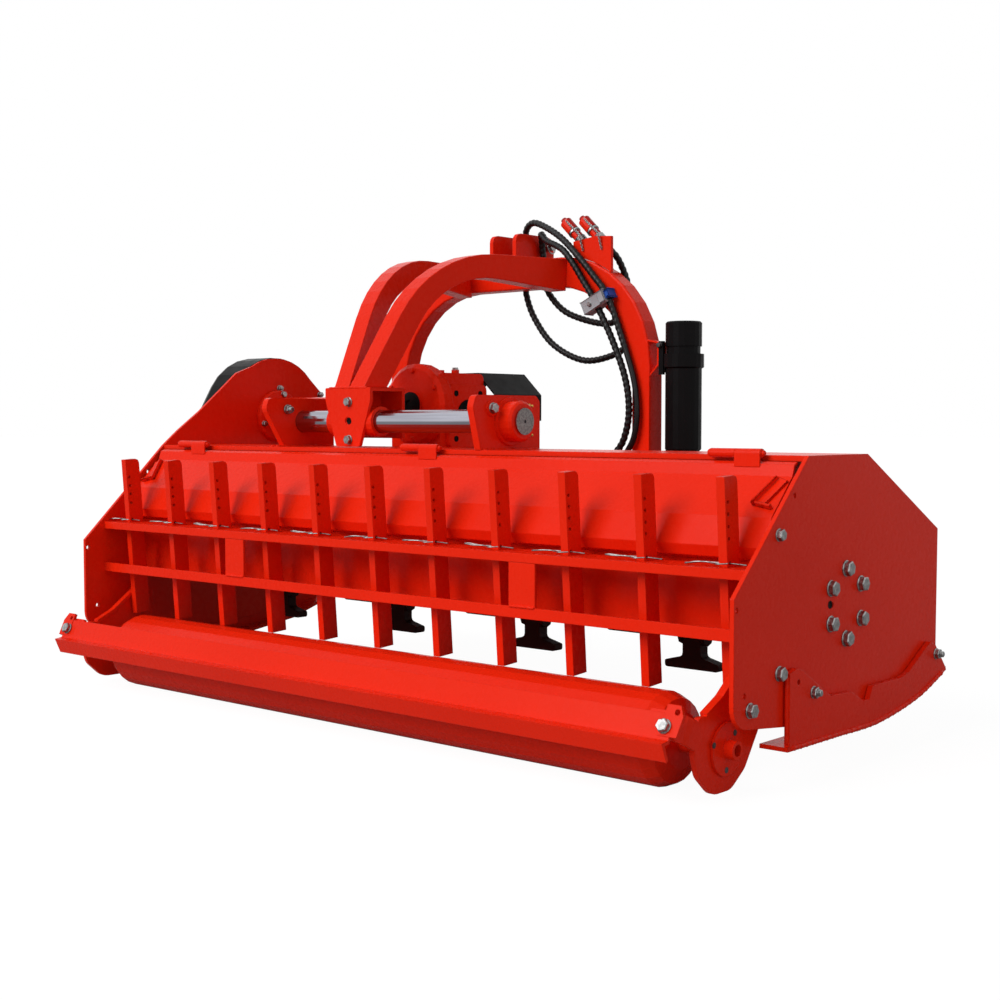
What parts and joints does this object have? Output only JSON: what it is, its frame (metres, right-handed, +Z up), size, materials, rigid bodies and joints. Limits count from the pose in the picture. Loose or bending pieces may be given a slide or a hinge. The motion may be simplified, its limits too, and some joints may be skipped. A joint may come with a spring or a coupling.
{
  "type": "tractor mulcher",
  "caption": "Tractor mulcher with a hammer rotor under a hinged hood, side-shift headstock arch, belt drive, rake tines, rear support roller and skids.",
  "frame": {"origin": "on the ground under the middle of the whole machine", "axes": "+X along the working width to the machine's right as seen from behind, +Y forward to the tractor, +Z up"},
  "size_m": [2.3184, 1.292, 1.3303],
  "materials": {
    "red_paint": "gloss",
    "black_plastic": "satin",
    "bright_steel": "polished",
    "dark_iron": "painted, matt",
    "hose_rubber": "satin",
    "belt_rubber": "matt"
  },
  "bodies": {
    "frame": {"right_side_plate": "red_paint", "left_side_plate": "red_paint", "deck_shell": "red_paint", "rake_upper_beam": "red_paint", "rake_lower_beam": "red_paint", "right_skid": "red_paint", "left_skid": "red_paint", "belt_cover": "black_plastic", "drive_belt": "belt_rubber", "drive_tube": "red_paint", "rotor_bearing_housing": "dark_iron", "left_ear": "red_paint", "right_ear": "red_paint", "slide_shaft": "bright_steel", "front_guide": "red_paint", "cylinder_rod": "bright_steel", "gearbox_housing": "red_paint", "pto_guard": "black_plastic"},
    "rotor": {"rotor": "dark_iron", "rotor_pulley": "dark_iron"},
    "hood": {"rear_hood": "red_paint"},
    "roller_frame": {"right_roller_arm": "red_paint", "left_roller_arm": "red_paint", "right_bearing_cap": "red_paint", "left_bearing_cap": "red_paint", "scraper_bar": "red_paint"},
    "roller": {"roller": "red_paint"},
    "headstock": {"carriage": "red_paint", "left_arm": "red_paint", "right_arm": "red_paint", "arch": "red_paint", "top_link_pin": "bright_steel", "hydraulic_couplers": "red_paint", "outer_hose": "hose_rubber", "inner_hose": "hose_rubber", "cylinder_barrel": "dark_iron", "document_tube": "black_plastic"},
    "drive_pulley": {"drive_pulley": "dark_iron"},
    "input_shaft": {"input_shaft": "bright_steel"},
    "document_cap": {"document_cap": "black_plastic"},
    "tine_01": {"tine_01": "red_paint"},
    "tine_02": {"tine_02": "red_paint"},
    "tine_03": {"tine_03": "red_paint"},
    "tine_04": {"tine_04": "red_paint"},
    "tine_05": {"tine_05": "red_paint"},
    "tine_06": {"tine_06": "red_paint"},
    "tine_07": {"tine_07": "red_paint"},
    "tine_08": {"tine_08": "red_paint"},
    "tine_09": {"tine_09": "red_paint"},
    "tine_10": {"tine_10": "red_paint"},
    "tine_11": {"tine_11": "red_paint"},
    "hammer_1": {"hammer_1": "dark_iron"},
    "hammer_2": {"hammer_2": "dark_iron"},
    "hammer_3": {"hammer_3": "dark_iron"},
    "hammer_4": {"hammer_4": "dark_iron"},
    "hammer_5": {"hammer_5": "dark_iron"},
    "hammer_6": {"hammer_6": "dark_iron"},
    "hammer_7": {"hammer_7": "dark_iron"},
    "hammer_8": {"hammer_8": "dark_iron"},
    "hammer_9": {"hammer_9": "dark_iron"}
  },
  "joints": [
    {"name": "rotor_spin", "type": "hinge", "parent": "frame", "child": "rotor", "pos_m": [0.0602, -0.08, 0.352], "axis": [1, 0, 0], "continuous": true},
    {"name": "hammer_1_swing", "type": "hinge", "parent": "rotor", "child": "hammer_1", "pos_m": [-0.8838, -0.17093, 0.4045], "axis": [1, 0, 0], "range_deg": [-240.5, 0.5]},
    {"name": "hammer_2_swing", "type": "hinge", "parent": "rotor", "child": "hammer_2", "pos_m": [-0.6478, -0.08, 0.247], "axis": [1, 0, 0], "range_deg": [-120.5, 120.5]},
    {"name": "hammer_3_swing", "type": "hinge", "parent": "rotor", "child": "hammer_3", "pos_m": [-0.4118, 0.01093, 0.2995], "axis": [1, 0, 0], "range_deg": [-60.5, 180.5]},
    {"name": "hammer_4_swing", "type": "hinge", "parent": "rotor", "child": "hammer_4", "pos_m": [-0.1758, -0.08, 0.247], "axis": [1, 0, 0], "range_deg": [-120.5, 120.5]},
    {"name": "hammer_5_swing", "type": "hinge", "parent": "rotor", "child": "hammer_5", "pos_m": [0.0602, 0.01093, 0.2995], "axis": [1, 0, 0], "range_deg": [-60.5, 180.5]},
    {"name": "hammer_6_swing", "type": "hinge", "parent": "rotor", "child": "hammer_6", "pos_m": [0.2962, -0.08, 0.247], "axis": [1, 0, 0], "range_deg": [-120.5, 120.5]},
    {"name": "hammer_7_swing", "type": "hinge", "parent": "rotor", "child": "hammer_7", "pos_m": [0.5322, 0.01093, 0.2995], "axis": [1, 0, 0], "range_deg": [-60.5, 180.5]},
    {"name": "hammer_8_swing", "type": "hinge", "parent": "rotor", "child": "hammer_8", "pos_m": [0.7682, -0.08, 0.247], "axis": [1, 0, 0], "range_deg": [-120.5, 120.5]},
    {"name": "hammer_9_swing", "type": "hinge", "parent": "rotor", "child": "hammer_9", "pos_m": [1.0042, -0.17093, 0.4045], "axis": [1, 0, 0], "range_deg": [-240.5, 0.5]},
    {"name": "hood_swing", "type": "hinge", "parent": "frame", "child": "hood", "pos_m": [0.0602, -0.25, 0.668], "axis": [-1, 0, 0], "range_deg": [0, 3]},
    {"name": "roller_height", "type": "hinge", "parent": "frame", "child": "roller_frame", "pos_m": [0.0602, -0.345, 0.237], "axis": [-1, 0, 0], "range_deg": [0, 16]},
    {"name": "roller_spin", "type": "hinge", "parent": "roller_frame", "child": "roller", "pos_m": [0.0602, -0.449, 0.097], "axis": [1, 0, 0], "continuous": true},
    {"name": "side_shift", "type": "slide", "parent": "frame", "child": "headstock", "axis": [1, 0, 0], "range_m": [-0.08, 0.4]},
    {"name": "drive_pulley_spin", "type": "hinge", "parent": "frame", "child": "drive_pulley", "pos_m": [0.0602, 0.198, 0.75], "axis": [1, 0, 0], "continuous": true},
    {"name": "input_shaft_spin", "type": "hinge", "parent": "frame", "child": "input_shaft", "pos_m": [-0.2848, 0.275, 0.779], "axis": [0, 1, 0], "continuous": true},
    {"name": "document_cap_lift", "type": "slide", "parent": "headstock", "child": "document_cap", "axis": [0, 0, 1], "range_m": [0, 0.06]},
    {"name": "tine_01_height", "type": "slide", "parent": "frame", "child": "tine_01", "axis": [0, -0.0741, 0.9973], "range_m": [0, 0.097]},
    {"name": "tine_02_height", "type": "slide", "parent": "frame", "child": "tine_02", "axis": [0, -0.0741, 0.9973], "range_m": [0, 0.097]},
    {"name": "tine_03_height", "type": "slide", "parent": "frame", "child": "tine_03", "axis": [0, -0.0741, 0.9973], "range_m": [0, 0.097]},
    {"name": "tine_04_height", "type": "slide", "parent": "frame", "child": "tine_04", "axis": [0, -0.0741, 0.9973], "range_m": [0, 0.097]},
    {"name": "tine_05_height", "type": "slide", "parent": "frame", "child": "tine_05", "axis": [0, -0.0741, 0.9973], "range_m": [0, 0.097]},
    {"name": "tine_06_height", "type": "slide", "parent": "frame", "child": "tine_06", "axis": [0, -0.0741, 0.9973], "range_m": [0, 0.097]},
    {"name": "tine_07_height", "type": "slide", "parent": "frame", "child": "tine_07", "axis": [0, -0.0741, 0.9973], "range_m": [0, 0.097]},
    {"name": "tine_08_height", "type": "slide", "parent": "frame", "child": "tine_08", "axis": [0, -0.0741, 0.9973], "range_m": [0, 0.097]},
    {"name": "tine_09_height", "type": "slide", "parent": "frame", "child": "tine_09", "axis": [0, -0.0741, 0.9973], "range_m": [0, 0.097]},
    {"name": "tine_10_height", "type": "slide", "parent": "frame", "child": "tine_10", "axis": [0, -0.0741, 0.9973], "range_m": [0, 0.097]},
    {"name": "tine_11_height", "type": "slide", "parent": "frame", "child": "tine_11", "axis": [0, -0.0741, 0.9973], "range_m": [0, 0.097]}
  ],
  "couplings": [
    {"joint": "drive_pulley_spin", "follows": "rotor_spin", "ratio": 0.6923},
    {"joint": "input_shaft_spin", "follows": "rotor_spin", "ratio": 0.2308}
  ]
}
